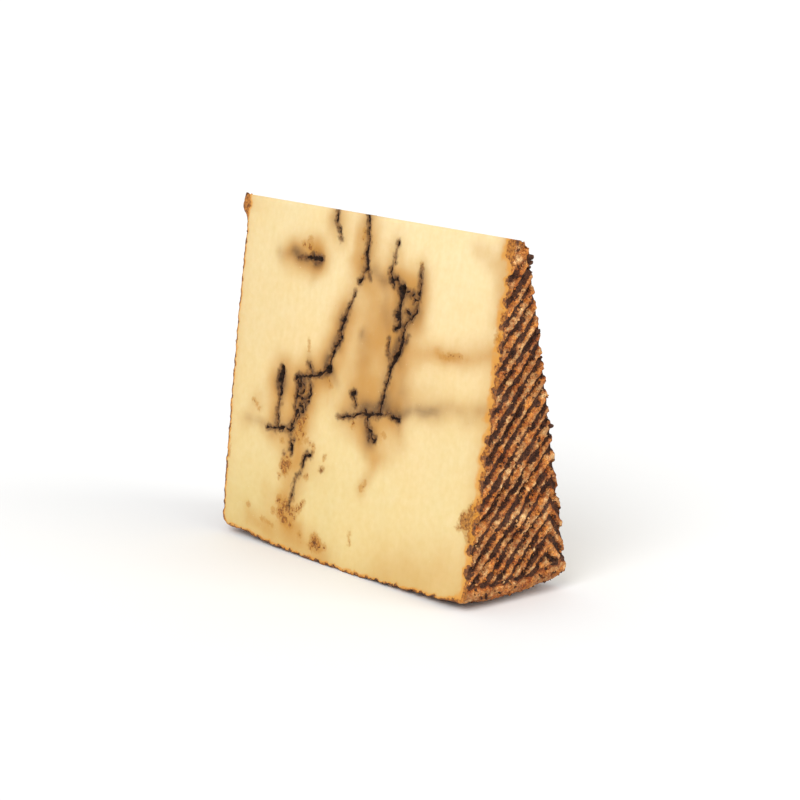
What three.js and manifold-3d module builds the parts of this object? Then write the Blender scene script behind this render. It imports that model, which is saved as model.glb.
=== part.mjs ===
// A wedge of hard pressed sheep's cheese, cut from a drum-shaped wheel and standing on its outer
// rind with the tip up. Both round faces and the wall of the wheel carry the herringbone grooves
// of the woven mould. The wedge is one solid: paste and rind grew together.
//
// Millimetres and degrees. +X runs along the wheel's axis, +Z is up, and the front cut faces -Y.
// The wedge is built with the wheel's axis on the X axis, and placed at the end so that the origin
// is the middle of its footprint, on the surface that it stands on.

import * as THREE from "three";
import { mergeVertices } from "three/addons/utils/BufferGeometryUtils.js";
import Module from "manifold-3d";

const wasm = await Module();
wasm.setup();

// The wheel
const WHEEL_RADIUS = 105.6; // from the axis to the wall, beside a shoulder
const WHEEL_HEIGHT = 120; // between the round faces, beside a shoulder
const WALL_BULGE = 2.6; // how far the wall swells at half height
const FACE_DOME = 3.2; // how far each round face swells at the axis
const SHOULDER_RADIUS = 3.5; // the rounding between a face and the wall

// The cuts
const FRONT_CUT_ANGLE = 8.3; // from the vertical
const BACK_CUT_ANGLE = 11.2;
const TIP_WIDTH = 4.2; // the two cuts don't quite meet at the axis
const TIP_DROP = 1; // how much lower the back edge of the tip is
const LIP_HEIGHT = 3; // the rind that the knife pushed out at the left end of the tip
const LIP_TOP = 4; // how far down from the tip it stands out fully
const LIP_REACH = 9; // and where it ends
const CHIP_START = 1.7; // where the broken corner starts, behind the tip's front edge
const CHIP_SLOPE = 48; // its fall towards the back
const CHIP_SKEW = 20; // how far it is turned towards the right end
const FOOT_DEPTH = 0.8; // the rind that is pressed flat where the wedge stands

// The mould's weave
const GROOVE_PITCH = 3.6; // square to the grooves
const GROOVE_WIDTH = 1.8;
const GROOVE_DEPTH = 0.8;
const GROOVE_ANGLE = 48; // to the direction across the columns
const COLUMN_WIDTH = 32; // between two folds of the herringbone
const FACE_FOLD = 16; // where one fold lies, behind the axis on the right face
const WEAVE_MARGIN = 2.5; // the plain band beside a shoulder, and below the lip

// Fineness of the curved surfaces, and room for the cutters
const WHEEL_STEPS = 90;
const SHOULDER_STEPS = 4;
const WALL_STEPS = 6;
const FACE_STEPS = 3;
const COLUMN_STEPS = 3; // straight pieces of a groove across one column of the wall
const OVERSHOOT = 20; // how far a cutter runs past what it cuts
const SKIN = 0.5; // how far a groove cutter stands proud of the rind
const MERGE_DISTANCE = 1e-4;

const HALF_HEIGHT = WHEEL_HEIGHT / 2;
const FACE_END = WHEEL_RADIUS - SHOULDER_RADIUS;
const WALL_END = HALF_HEIGHT - SHOULDER_RADIUS;
const { degToRad } = THREE.MathUtils;

// The distance from the middle of the wheel to a round face, at a distance r from the axis.
function faceAt(r) {
  return HALF_HEIGHT + FACE_DOME * (1 - (r / WHEEL_RADIUS) ** 2);
}

// The distance from the axis to the wall, at a distance x from the middle of the wheel.
function wallAt(x) {
  return WHEEL_RADIUS + WALL_BULGE * (1 - (x / HALF_HEIGHT) ** 2);
}

// ---- Solids from three.js geometry ----

function solidOf(geometry) {
  const bare = geometry.clone();
  bare.deleteAttribute("normal");
  bare.deleteAttribute("uv");
  const merged = mergeVertices(bare, MERGE_DISTANCE);
  return new wasm.Manifold(
    new wasm.Mesh({
      numProp: 3,
      vertProperties: merged.attributes.position.array,
      triVerts: new Uint32Array(merged.index.array),
    }),
  );
}

function geometryOf(solid) {
  const mesh = solid.getMesh();
  const geometry = new THREE.BufferGeometry();
  geometry.setAttribute("position", new THREE.BufferAttribute(mesh.vertProperties, 3));
  geometry.setIndex(new THREE.BufferAttribute(mesh.triVerts, 1));
  return geometry;
}

// A solid turned round the X axis, from [radius, x] points that run towards +X.
function turned(points) {
  const profile = points.map(([r, x]) => new THREE.Vector2(r, x));
  return solidOf(new THREE.LatheGeometry(profile, WHEEL_STEPS).rotateZ(-Math.PI / 2));
}

// ---- The whole wheel ----

// From the axis out along a round face to where its shoulder starts.
function facePoints(side, start) {
  const points = [];
  for (let i = 0; i < FACE_STEPS; i++) {
    const r = start + ((FACE_END - start) * i) / FACE_STEPS;
    points.push([r, side * faceAt(r)]);
  }
  return points;
}

// Round a shoulder, from the face to the wall.
function shoulderPoints(side) {
  const points = [];
  for (let i = 0; i <= SHOULDER_STEPS; i++) {
    const turn = (i / SHOULDER_STEPS) * (Math.PI / 2);
    const r = FACE_END + SHOULDER_RADIUS * Math.sin(turn);
    const x = WALL_END + SHOULDER_RADIUS * Math.cos(turn);
    const swollen = [r + wallAt(x) - WHEEL_RADIUS, side * (x + faceAt(r) - HALF_HEIGHT)];
    points.push(swollen);
  }
  return points;
}

function wallPoints() {
  const points = [];
  for (let i = 1; i < WALL_STEPS; i++) {
    const x = WALL_END * ((2 * i) / WALL_STEPS - 1);
    points.push([wallAt(x), x]);
  }
  return points;
}

function wholeWheel() {
  const lip = [
    [0, -faceAt(0) - LIP_HEIGHT],
    [LIP_TOP, -faceAt(LIP_TOP) - LIP_HEIGHT],
  ];
  const leftSide = [...lip, ...facePoints(-1, LIP_REACH), ...shoulderPoints(-1)];
  const rightSide = [...facePoints(1, 0), ...shoulderPoints(1)].reverse();
  return turned([...leftSide, ...wallPoints(), ...rightSide]);
}

// ---- The grooves of the mould ----

const LINE_SPACING = GROOVE_PITCH / Math.cos(degToRad(GROOVE_ANGLE));
const COLUMN_CLIMB = COLUMN_WIDTH * Math.tan(degToRad(GROOVE_ANGLE));
const BACK_REACH = TIP_WIDTH + (WHEEL_RADIUS + WALL_BULGE) * Math.sin(degToRad(BACK_CUT_ANGLE));
const FRONT_REACH = (WHEEL_RADIUS + WALL_BULGE) * Math.sin(degToRad(FRONT_CUT_ANGLE));
const CUTTER_HALF_WIDTH = (GROOVE_WIDTH / 2) * (1 + SKIN / GROOVE_DEPTH); // at its top
const RUN_ON = CUTTER_HALF_WIDTH * Math.tan(degToRad(GROOVE_ANGLE)); // past a fold, to meet there

// A V-shaped cutter between two points of the rind, whose outward direction is given.
function grooveCutter(start, end, outward) {
  const along = end.clone().sub(start);
  const depth = along.length() + 2 * RUN_ON;
  along.normalize();
  const out = outward.clone().addScaledVector(along, -outward.dot(along)).normalize();
  const across = out.clone().cross(along);
  const section = new THREE.Shape([
    new THREE.Vector2(-CUTTER_HALF_WIDTH, SKIN),
    new THREE.Vector2(0, -GROOVE_DEPTH),
    new THREE.Vector2(CUTTER_HALF_WIDTH, SKIN),
  ]);
  const cutter = new THREE.ExtrudeGeometry(section, { depth, bevelEnabled: false });
  const placed = new THREE.Matrix4().makeBasis(across, out, along).setPosition(start);
  return solidOf(cutter.translate(0, 0, -RUN_ON).applyMatrix4(placed));
}

// How high a line is at a distance u across the columns: it falls from the fold at 0 to the next
// one and climbs again.
function climbAt(u) {
  return COLUMN_CLIMB * Math.abs(1 - (Math.abs(u / COLUMN_WIDTH) % 2));
}

// The columns that cover a range, as the number of each one's first fold.
function columnsOver(low, high) {
  const first = Math.floor(low / COLUMN_WIDTH);
  const count = Math.ceil(high / COLUMN_WIDTH) - first;
  return Array.from({ length: count }, (_, i) => first + i);
}

// The heights at which the lines of a pattern start, so that they cover a range.
function linesOver(low, high) {
  const count = Math.ceil((high - low + COLUMN_CLIMB) / LINE_SPACING);
  return Array.from({ length: count }, (_, i) => low - COLUMN_CLIMB + i * LINE_SPACING);
}

// On a round face the columns stand upright, beside each other from front to back.
function faceGrooves(side) {
  const fold = side * FACE_FOLD;
  const edge = FACE_END - WEAVE_MARGIN;
  const outward = new THREE.Vector3(side, 0, 0);
  const onFace = (u, base) => {
    const [y, z] = [u + fold, base + climbAt(u)];
    return new THREE.Vector3(side * faceAt(Math.hypot(y, z)), y, z);
  };
  const cutters = [];
  for (const base of linesOver(-edge, 0)) {
    for (const column of columnsOver(-FRONT_REACH - fold, BACK_REACH - fold)) {
      const [start, end] = [column, column + 1].map((n) => onFace(n * COLUMN_WIDTH, base));
      cutters.push(grooveCutter(start, end, outward));
    }
  }
  const top = HALF_HEIGHT + FACE_DOME + OVERSHOOT;
  const woven = [
    [LIP_REACH + WEAVE_MARGIN, -top],
    [edge, -top],
    [edge, top],
    [LIP_REACH + WEAVE_MARGIN, top],
    [LIP_REACH + WEAVE_MARGIN, -top],
  ];
  return joined(cutters).intersect(turned(woven));
}

// On the wall the columns run round the wheel, beside each other from left to right.
function wallGrooves() {
  const edge = WALL_END - WEAVE_MARGIN;
  const onWall = (x, base) => {
    const turn = (base + climbAt(x)) / WHEEL_RADIUS;
    return new THREE.Vector3(x, wallAt(x) * Math.sin(turn), -wallAt(x) * Math.cos(turn));
  };
  const cutters = [];
  for (const base of linesOver(-FRONT_REACH, BACK_REACH)) {
    for (const column of columnsOver(-edge, edge)) {
      for (let i = 0; i < COLUMN_STEPS; i++) {
        const places = [i, i + 1].map((n) => (column + n / COLUMN_STEPS) * COLUMN_WIDTH);
        const [start, end] = places.map((x) => onWall(x, base));
        const outward = start.clone().add(end).setX(0).normalize();
        cutters.push(grooveCutter(start, end, outward));
      }
    }
  }
  const far = WHEEL_RADIUS + WALL_BULGE + OVERSHOOT;
  return joined(cutters).intersect(turned([[0, -edge], [far, -edge], [far, edge], [0, edge]]));
}

function joined(solids) {
  return solids.reduce((whole, solid) => whole.add(solid));
}

// ---- The cuts ----

// What the knife leaves, drawn in (y, z) as seen along the axis: the blunt tip between two cuts.
function betweenTheCuts() {
  const reach = WHEEL_RADIUS + WALL_BULGE + OVERSHOOT;
  const [front, back] = [FRONT_CUT_ANGLE, BACK_CUT_ANGLE].map(degToRad);
  const section = new THREE.Shape([
    new THREE.Vector2(0, 0),
    new THREE.Vector2(-reach * Math.sin(front), -reach * Math.cos(front)),
    new THREE.Vector2(TIP_WIDTH + reach * Math.sin(back), -TIP_DROP - reach * Math.cos(back)),
    new THREE.Vector2(TIP_WIDTH, -TIP_DROP),
  ]);
  const length = 2 * (faceAt(0) + LIP_HEIGHT + OVERSHOOT);
  const prism = new THREE.ExtrudeGeometry(section, { depth: length, bevelEnabled: false });
  const standing = new THREE.Matrix4().makeBasis(
    new THREE.Vector3(0, 1, 0),
    new THREE.Vector3(0, 0, 1),
    new THREE.Vector3(1, 0, 0),
  );
  return solidOf(prism.translate(0, 0, -length / 2).applyMatrix4(standing));
}

// The block whose lower face is the broken corner at the right end of the tip.
function brokenCorner() {
  const block = new THREE.BoxGeometry(2 * OVERSHOOT, 2 * OVERSHOOT, OVERSHOOT);
  block.translate(0, 0, OVERSHOOT / 2);
  block.rotateX(-degToRad(CHIP_SLOPE)).rotateZ(-degToRad(CHIP_SKEW));
  const tipHeight = -TIP_DROP * (CHIP_START / TIP_WIDTH);
  return solidOf(block.translate(faceAt(0), CHIP_START, tipHeight));
}

const STANDING_HEIGHT = WHEEL_RADIUS + WALL_BULGE - FOOT_DEPTH; // from the foot to the axis

// A block that is level with the foot: its top when side is -1, its bottom when side is 1.
function blockAtFoot(side, length, width) {
  const block = new THREE.BoxGeometry(length, width, OVERSHOOT);
  return solidOf(block.translate(0, 0, (side * OVERSHOOT) / 2 - STANDING_HEIGHT));
}

// Where the foot lies the grooves are pressed shut.
function footPatch() {
  const halfLength = HALF_HEIGHT * Math.sqrt(FOOT_DEPTH / WALL_BULGE);
  const halfWidth = Math.sqrt(2 * WHEEL_RADIUS * FOOT_DEPTH);
  return blockAtFoot(1, 2 * halfLength, 2 * halfWidth);
}

function cheeseWedge() {
  const plain = wholeWheel().intersect(betweenTheCuts());
  const grooved = plain.subtract(faceGrooves(-1)).subtract(faceGrooves(1)).subtract(wallGrooves());
  const footed = grooved.add(plain.intersect(footPatch()));
  const belowTheFoot = blockAtFoot(-1, 2 * WHEEL_HEIGHT, 2 * WHEEL_RADIUS);
  return footed.subtract(brokenCorner()).subtract(belowTheFoot);
}

// ---- The part ----

const geometry = geometryOf(cheeseWedge());
geometry.computeBoundingBox();
const { min, max } = geometry.boundingBox;

const ripeCheese = new THREE.MeshStandardMaterial({ color: 0xe9cf93, roughness: 0.6, metalness: 0 });
const wedge = new THREE.Mesh(geometry, ripeCheese);
wedge.name = "cheese_wedge";
wedge.position.set(-(min.x + max.x) / 2, -(min.y + max.y) / 2, -min.z);

const part = new THREE.Group();
part.add(wedge);

export default part;
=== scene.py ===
# %% [markdown]
# # A wedge of pressed cheese, cut from a wheel
#
# The real thing is one body. Curd is pressed in a woven mould, which prints a herringbone of
# grooves on the rind, and the wheel is then ripened and cut. This wedge stands on its outer rind
# with the tip up. The cut is pale, waxy and slightly translucent, with thin cracks that hold dark
# truffle and stain the paste around them. The rind is dry, brown and crumbly.
#
# The plan follows how the real wedge comes to be: a section of the wheel is swept round, trued to
# the wheel's curved faces, printed with the weave, and last come the cracks and the crumbs.

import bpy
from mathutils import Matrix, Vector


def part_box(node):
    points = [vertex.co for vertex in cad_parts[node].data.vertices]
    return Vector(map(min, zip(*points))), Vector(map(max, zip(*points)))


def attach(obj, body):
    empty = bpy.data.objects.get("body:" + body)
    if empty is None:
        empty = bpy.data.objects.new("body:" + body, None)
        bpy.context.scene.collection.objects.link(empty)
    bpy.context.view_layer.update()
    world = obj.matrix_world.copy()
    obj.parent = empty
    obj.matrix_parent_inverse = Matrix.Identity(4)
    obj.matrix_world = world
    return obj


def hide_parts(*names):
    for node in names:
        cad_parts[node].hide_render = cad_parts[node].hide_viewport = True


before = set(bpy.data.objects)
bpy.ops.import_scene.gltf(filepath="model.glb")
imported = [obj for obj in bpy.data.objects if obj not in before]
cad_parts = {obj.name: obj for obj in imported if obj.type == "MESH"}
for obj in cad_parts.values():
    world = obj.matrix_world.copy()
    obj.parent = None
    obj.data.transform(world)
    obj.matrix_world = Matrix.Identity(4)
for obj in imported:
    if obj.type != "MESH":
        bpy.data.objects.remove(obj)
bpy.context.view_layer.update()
print("the frame holds", sorted(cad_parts))

# %% [markdown]
# ## Sizes
#
# The wheel's own sizes decide everything, so they come first. Shape work is easier to read in
# millimetres, and Blender works in metres, so points are scaled when they are read from a mesh
# and scaled back when they are written to it. The place of the wheel's axis comes from the frame.

# %% The wheel and the cuts
import math

import bpy
import numpy as np
from mathutils import Vector, noise

MM = 0.001

WHEEL_RADIUS = 105.6
WHEEL_HEIGHT = 120.0
WALL_BULGE = 2.6
FACE_DOME = 3.2
SHOULDER = 3.5
FRONT_CUT = math.radians(8.3)
BACK_CUT = math.radians(11.2)
TIP_WIDTH = 4.2
TIP_DROP = 1.0
LIP_HEIGHT = 3.0
FOOT_DEPTH = 0.8
HALF = WHEEL_HEIGHT / 2

low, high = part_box("cheese_wedge")
front_reach = (high.z / MM + FOOT_DEPTH) * math.sin(FRONT_CUT)
AXIS = np.array([(low.x + high.x) / 2 / MM + LIP_HEIGHT / 2, low.y / MM + front_reach, high.z / MM])
print("the wheel's axis lies at", AXIS.round(2), "mm")


# %% Reading and moving the points of a mesh
def read(items, name, width=1, kind=np.float32):
    """One value, or a row of width values, from each item of a mesh."""
    flat = np.empty(len(items) * width, kind)
    items.foreach_get(name, flat)
    return flat.reshape(-1, width) if width > 1 else flat


def keep(mesh, name, values):
    """Keep a value on each point of the mesh, where a material can read it."""
    attribute = mesh.attributes.new(name, "FLOAT", "POINT")
    attribute.data.foreach_set("value", values.astype(np.float32))


def points_of(piece):
    """The mesh's points, in mm from the wheel's axis."""
    return read(piece.data.vertices, "co", 3).astype(float) / MM - AXIS


def put_points(piece, points):
    piece.data.vertices.foreach_set("co", ((points + AXIS) * MM).astype(np.float32).ravel())
    piece.data.update()


def smoothstep(start, end, value):
    share = np.clip((value - start) / (end - start), 0, 1)
    return share * share * (3 - 2 * share)


# %% [markdown]
# ## The blank
#
# A knife opens the wheel along a flat plane, so the wedge starts as that plane: a grid as wide as
# the wheel is tall and as deep as its radius. Even square cells are wanted because every later
# step moves points, and even cells move evenly. The grid is tilted to the front cut and swept to
# the back cut with Spin. The two cuts don't quite meet in the tip, so the sweep turns round the
# line above it where the cut planes would meet.

# %% Find where the two cut planes meet
CELL = 1.25
SAME_PLACE = 0.001

front_down = np.array([-math.sin(FRONT_CUT), -math.cos(FRONT_CUT)])
back_down = np.array([math.sin(BACK_CUT), -math.cos(BACK_CUT)])
tip_back = np.array([TIP_WIDTH, -TIP_DROP])
above_front, above_back = np.linalg.solve(np.column_stack([-front_down, back_down]), tip_back)
pivot = -above_front * front_down
print("the cuts would meet", pivot.round(2), "mm from the axis")


# %% Sweep the section
def deselect_all():
    for thing in bpy.context.selected_objects:
        thing.select_set(False)


deselect_all()
axis_place = Vector(AXIS * MM)
bpy.ops.mesh.primitive_grid_add(
    x_subdivisions=round(WHEEL_HEIGHT / CELL), y_subdivisions=round(WHEEL_RADIUS / CELL), size=1,
    location=axis_place - Vector((0, 0, WHEEL_RADIUS / 2 * MM)), rotation=(math.pi / 2, 0, 0))
wedge = bpy.context.object
wedge.name = "wedge"
wedge.scale = (WHEEL_HEIGHT * MM, WHEEL_RADIUS * MM, 1)
bpy.ops.object.transform_apply(location=True, rotation=True, scale=True)

bpy.ops.object.mode_set(mode="EDIT")
bpy.ops.mesh.select_all(action="SELECT")
bpy.ops.transform.rotate(value=FRONT_CUT, orient_axis="X", center_override=axis_place)
widest = WHEEL_RADIUS * (math.sin(FRONT_CUT) + math.sin(BACK_CUT)) + TIP_WIDTH
bpy.ops.mesh.spin(
    steps=round(widest / CELL), angle=-(FRONT_CUT + BACK_CUT), axis=(1, 0, 0),
    center=axis_place + Vector((0, pivot[0], pivot[1])) * MM)
bpy.ops.mesh.select_all(action="SELECT")
bpy.ops.mesh.remove_doubles(threshold=SAME_PLACE * MM)
bpy.ops.mesh.normals_make_consistent(inside=False)
bpy.ops.object.mode_set(mode="OBJECT")
print("the blank has", len(wedge.data.vertices), "points")

# %% [markdown]
# ## Truing
#
# A pressed wheel is never a plain drum. The wall and the round faces swell a little, and the
# shoulders between them are rounded. The sweep turned round the wrong line for the wall, too.
# These are smooth changes of the whole shape, so they are done as moves of all the points, where
# a formula is more exact than pushing loops about by hand.


# %% True the tip and the wall
def turn_of(points):
    """The angle round the pivot, from the vertical, towards the back."""
    return np.arctan2(points[:, 1] - pivot[0], pivot[1] - points[:, 2])


def true_up(points):
    turn = turn_of(points)
    ray = np.column_stack([np.sin(turn), -np.cos(turn)])
    reach = np.hypot(points[:, 1] - pivot[0], points[:, 2] - pivot[1])
    share = (reach - above_front) / WHEEL_RADIUS
    across_tip = np.array([tip_back[1], -tip_back[0]])
    to_tip = -(pivot @ across_tip) / (ray @ across_tip)
    toward = ray @ pivot
    to_wall = -toward + np.sqrt(toward ** 2 - pivot @ pivot + WHEEL_RADIUS ** 2)
    reach = to_tip + share * (to_wall - to_tip)
    trued = points.copy()
    trued[:, 1:] = pivot + ray * reach[:, None]
    return trued


def round_shoulders(points):
    """Push the square corner between a face and the wall onto an arc."""
    rounded = points.copy()
    r = np.hypot(points[:, 1], points[:, 2])
    past_face = (np.abs(points[:, 0]) - (HALF - SHOULDER)) / SHOULDER
    past_wall = (r - (WHEEL_RADIUS - SHOULDER)) / SHOULDER
    corner = (past_face > 0) & (past_wall > 0)
    u, v = past_face[corner], past_wall[corner]
    pull = np.maximum(u, v) / np.hypot(u, v)
    rounded[corner, 0] = np.sign(points[corner, 0]) * (HALF - SHOULDER + SHOULDER * u * pull)
    new_r = WHEEL_RADIUS - SHOULDER + SHOULDER * v * pull
    rounded[corner, 1:] *= (new_r / r[corner])[:, None]
    return rounded


def swell(points):
    swollen = points.copy()
    r = np.hypot(points[:, 1], points[:, 2])
    swollen[:, 0] *= 1 + FACE_DOME / HALF * (1 - (r / WHEEL_RADIUS) ** 2)
    outer = (r / WHEEL_RADIUS) ** 3 * (1 - (points[:, 0] / HALF) ** 2)
    swollen[:, 1:] *= (1 + WALL_BULGE / WHEEL_RADIUS * outer)[:, None]
    return swollen


put_points(wedge, swell(round_shoulders(true_up(points_of(wedge)))))
print("trued to", (np.ptp(points_of(wedge), axis=0)).round(1), "mm")

# %% [markdown]
# ## The truffle cracks
#
# On the real cut, thin cracks hold black crumbs of truffle. They wander, branch and swell, and the
# paste around them is stained tan and grey. Painting them on an image would tie them to one view,
# so each crack is a stroke: a half width and the few points that it passes, as distances along
# the cut from its middle and down from the tip, in mm. A stroke with one point is a single crumb.
# The strokes later carve the mesh and are stored on its points, where the materials read them.

# %% The strokes of the front cut
FACE_MIDDLE = -0.5

tip_cracks = [
    (0.42, [(-17, -1), (-17.3, 4), (-15.5, 6), (-14.5, 8.8)]),
    (0.5, [(-2.5, -1), (-1.5, 4), (-1, 8), (-1.3, 10)]),
    (0.75, [(-1.2, 9), (-1.5, 13)]),
    (0.5, [(-1.5, 13), (-0.5, 15), (0, 16)]),
    (0.3, [(0.3, 17), (1.5, 18.5)]),
    (0.4, [(0, 16), (-1, 16.5), (-2, 19), (-3.5, 20.5)]),
]
left_slit = [
    (0.2, [(-34, 17), (-30, 16.3)]),
    (0.55, [(-30, 16.3), (-27, 16), (-24, 15.7)]),
    (0.85, [(-27, 16), (-22.5, 16.2)]),
]
central_crack = [
    (0.22, [(-4.6, 23.5), (-5, 25), (-6, 27.5)]),
    (0.5, [(-6, 27.5), (-7.5, 30), (-8.5, 33)]),
    (1.15, [(-8.5, 32.6), (-8.9, 33.6)]),
    (0.62, [(-8.9, 34), (-9.3, 35), (-9.8, 37), (-9, 39), (-10, 40)]),
    (0.95, [(-10, 40)]),
    (0.65, [(-10, 40), (-11.5, 42), (-12.7, 45), (-13.5, 48.5)]),
    (1.3, [(-13.2, 48.6), (-14.4, 49.3)]),
    (0.6, [(-14.4, 49.3), (-16, 50.5), (-19, 51.5), (-21, 52), (-25, 53), (-29, 53.7)]),
    (0.35, [(-24, 48.5), (-22, 50), (-21, 52)]),
]
right_cracks = [
    (0.35, [(12.7, 6.5), (12.3, 8)]),
    (0.25, [(12, 9.5), (12, 12.5)]),
    (0.5, [(11, 14.5), (10.5, 16), (12, 18), (13, 19.5)]),
    (0.6, [(12, 18), (14, 17.6), (15, 18.5), (17, 20.3)]),
    (1.7, [(16.8, 20), (17.1, 21)]),
    (0.8, [(17.2, 22), (16.8, 25), (16.5, 27.5)]),
    (1.2, [(16, 28), (16.1, 28.8)]),
    (0.7, [(16, 28.3), (17.3, 29.5), (17.7, 31), (16, 32)]),
    (0.4, [(19, 20.7), (20.5, 20.5), (21.7, 21.3)]),
    (0.9, [(21.7, 21.3)]),
    (0.45, [(21.7, 21.3), (23, 22.5), (24.5, 23)]),
    (0.25, [(19.5, 26.2), (21, 26.8), (22, 28)]),
    (0.3, [(13.3, 35.5), (13.3, 37), (13.2, 39), (13.8, 40), (15, 41)]),
    (0.3, [(21.8, 33.5), (21.5, 35), (20, 35.7)]),
    (0.3, [(24.7, 13), (24.3, 15.5), (24.6, 18), (24.7, 20)]),
    (0.4, [(24.7, 20), (24.8, 22.5), (24.6, 25), (24.5, 26), (23.3, 27), (22.3, 28.3)]),
    (0.5, [(22.3, 28.3), (21, 29), (20, 30.5), (19.5, 31), (19.3, 33)]),
    (0.8, [(19.3, 33), (19.6, 35), (19.3, 37), (18.5, 39), (17.2, 40), (16.5, 41)]),
    (0.62, [(16.5, 41), (16, 43), (15.3, 45), (14.7, 48), (14, 50), (13.7, 53)]),
    (0.45, [(13.7, 53), (13.5, 55), (12.8, 57), (12.5, 58)]),
]
cross_crack = [
    (0.42, [(-6.5, 62.5), (-4, 62), (-2, 61.5), (0.5, 61.2), (2.5, 60), (5.5, 59.5), (8, 59.7)]),
    (0.42, [(8, 59.7), (9, 59), (11, 58.7), (13, 58.3), (15, 57.9)]),
    (0.36, [(15, 57.9), (17, 57.6), (19, 58.3), (20.5, 58.6), (22.3, 58.4)]),
    (0.35, [(6.3, 58.5)]),
    (0.6, [(7, 60.5), (7.8, 62), (7.7, 63.5), (9.5, 64), (10, 65), (10.7, 66), (11.5, 66.5)]),
    (0.3, [(11.5, 66.5), (12.3, 65.2)]),
    (0.45, [(9.2, 66.3)]),
    (0.35, [(-1.5, 54), (0.2, 53.6)]),
    (0.35, [(-1.3, 55), (0.5, 56.3), (1.5, 58)]),
]
left_hole = [
    (0.8, [(-36.5, 51.8), (-36.5, 53)]),
    (1.5, [(-36.5, 53.6), (-36.4, 55.5)]),
    (1.0, [(-36.4, 55.5), (-36.2, 58.5)]),
    (0.5, [(-36, 59), (-36.3, 63), (-36.7, 65), (-36.5, 67), (-36, 69), (-36, 70.5)]),
    (0.5, [(-41, 71.5), (-38.5, 71.3), (-36.5, 71.2), (-34, 70.7), (-32.5, 70.5)]),
    (0.6, [(-31, 70.3), (-29, 70.5), (-28, 69.5)]),
]
crumb_pocket = [
    (0.5, [(-28, 54), (-27.5, 57), (-28, 59.5), (-28, 63)]),
    (1.2, [(-27, 56)]),
    (0.45, [(-27, 59.5), (-24, 60), (-22, 59), (-21, 58), (-21.5, 56), (-21.5, 55)]),
    (0.45, [(-26.5, 54.5), (-24.5, 55.5), (-25, 58), (-26.5, 58.5)]),
    (0.45, [(-26.5, 61), (-25, 61.5), (-23.5, 60.8)]),
    (0.4, [(-23, 62.5), (-22.5, 60.5), (-21.5, 60)]),
    (0.4, [(-25.5, 65), (-26.5, 66.5)]),
    (0.75, [(-26, 62), (-24.5, 62.5), (-24, 64)]),
    (0.5, [(-27, 64), (-27.5, 66), (-28.5, 69.5)]),
    (0.3, [(-28, 73.5), (-27, 73)]),
    (0.7, [(-28, 75), (-27.5, 76.7)]),
    (0.4, [(-31, 78.5)]),
    (0.5, [(-17.5, 76.5), (-19.5, 76.7), (-21, 78)]),
    (0.35, [(-21, 78), (-21, 80.5)]),
    (0.22, [(-21.5, 82.5), (-23.5, 84), (-24.5, 86.5), (-24.8, 89), (-25, 91), (-26, 93.5)]),
    (0.6, [(-26, 94)]),
    (0.15, [(-11.6, 80)]),
]
FRONT_CRACKS = (tip_cracks + left_slit + central_crack + right_cracks + cross_crack + left_hole
                + crumb_pocket)
print(len(FRONT_CRACKS), "strokes on the front cut")

# %% [markdown]
# The stains are broader strokes: a half width over which they fade, how strong they are, and the
# points. Grey stains come from the truffle, tan ones from whey that dried in old cracks. Ochre
# crumbs are small dry grains that lie in the cut, drawn as spots. Rust lines are hair cracks with
# no truffle in them; they get the crumbs' colour, only fainter.

# %% Stains and crumbs of the front cut
FRONT_GREY = [
    (3.2, 0.6, [(22, 56.5), (30, 54), (38, 53.2)]),
    (4.0, 0.38, [(38, 53.2), (46, 52), (54, 51), (61, 50)]),
    (2.2, 0.4, [(-2, 60.4), (4, 58)]),
    (2.8, 0.5, [(4, 58), (14, 56.4), (21, 55.5)]),
    (3.6, 0.25, [(1, 55), (14, 53)]),
    (4.0, 0.2, [(3, 38), (2, 44)]),
    (8.0, 0.16, [(2, 24), (4, 34), (2, 48)]),
    (3.0, 0.5, [(-44, 16), (-36, 16)]),
    (2.6, 0.5, [(-35, 16), (-28, 15.5)]),
    (2.6, 0.25, [(-26, 22)]),
    (1.7, 0.5, [(0.8, 36.7)]),
    (2.4, 0.45, [(4, 16), (6.5, 19)]),
    (2.6, 0.45, [(-13, 51), (-9, 53)]),
    (2.4, 0.4, [(-52, 71), (-44, 71)]),
    (1.8, 0.35, [(-49, 64), (-45.5, 66)]),
    (1.8, 0.4, [(22.5, 62)]),
    (1.8, 0.4, [(-24, 46), (-22, 49)]),
    (4.0, 0.42, [(20, 34), (21, 50)]),
    (3.0, 0.3, [(25, 14), (26, 30)]),
    (3.0, 0.4, [(9, 20), (11, 32)]),
    (2.6, 0.15, [(-5, 22), (-11, 36), (-15, 46)]),
    (2.8, 0.5, [(-25, 56), (-25, 67)]),
    (2.2, 0.3, [(7.5, 66), (8, 72)]),
]
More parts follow.
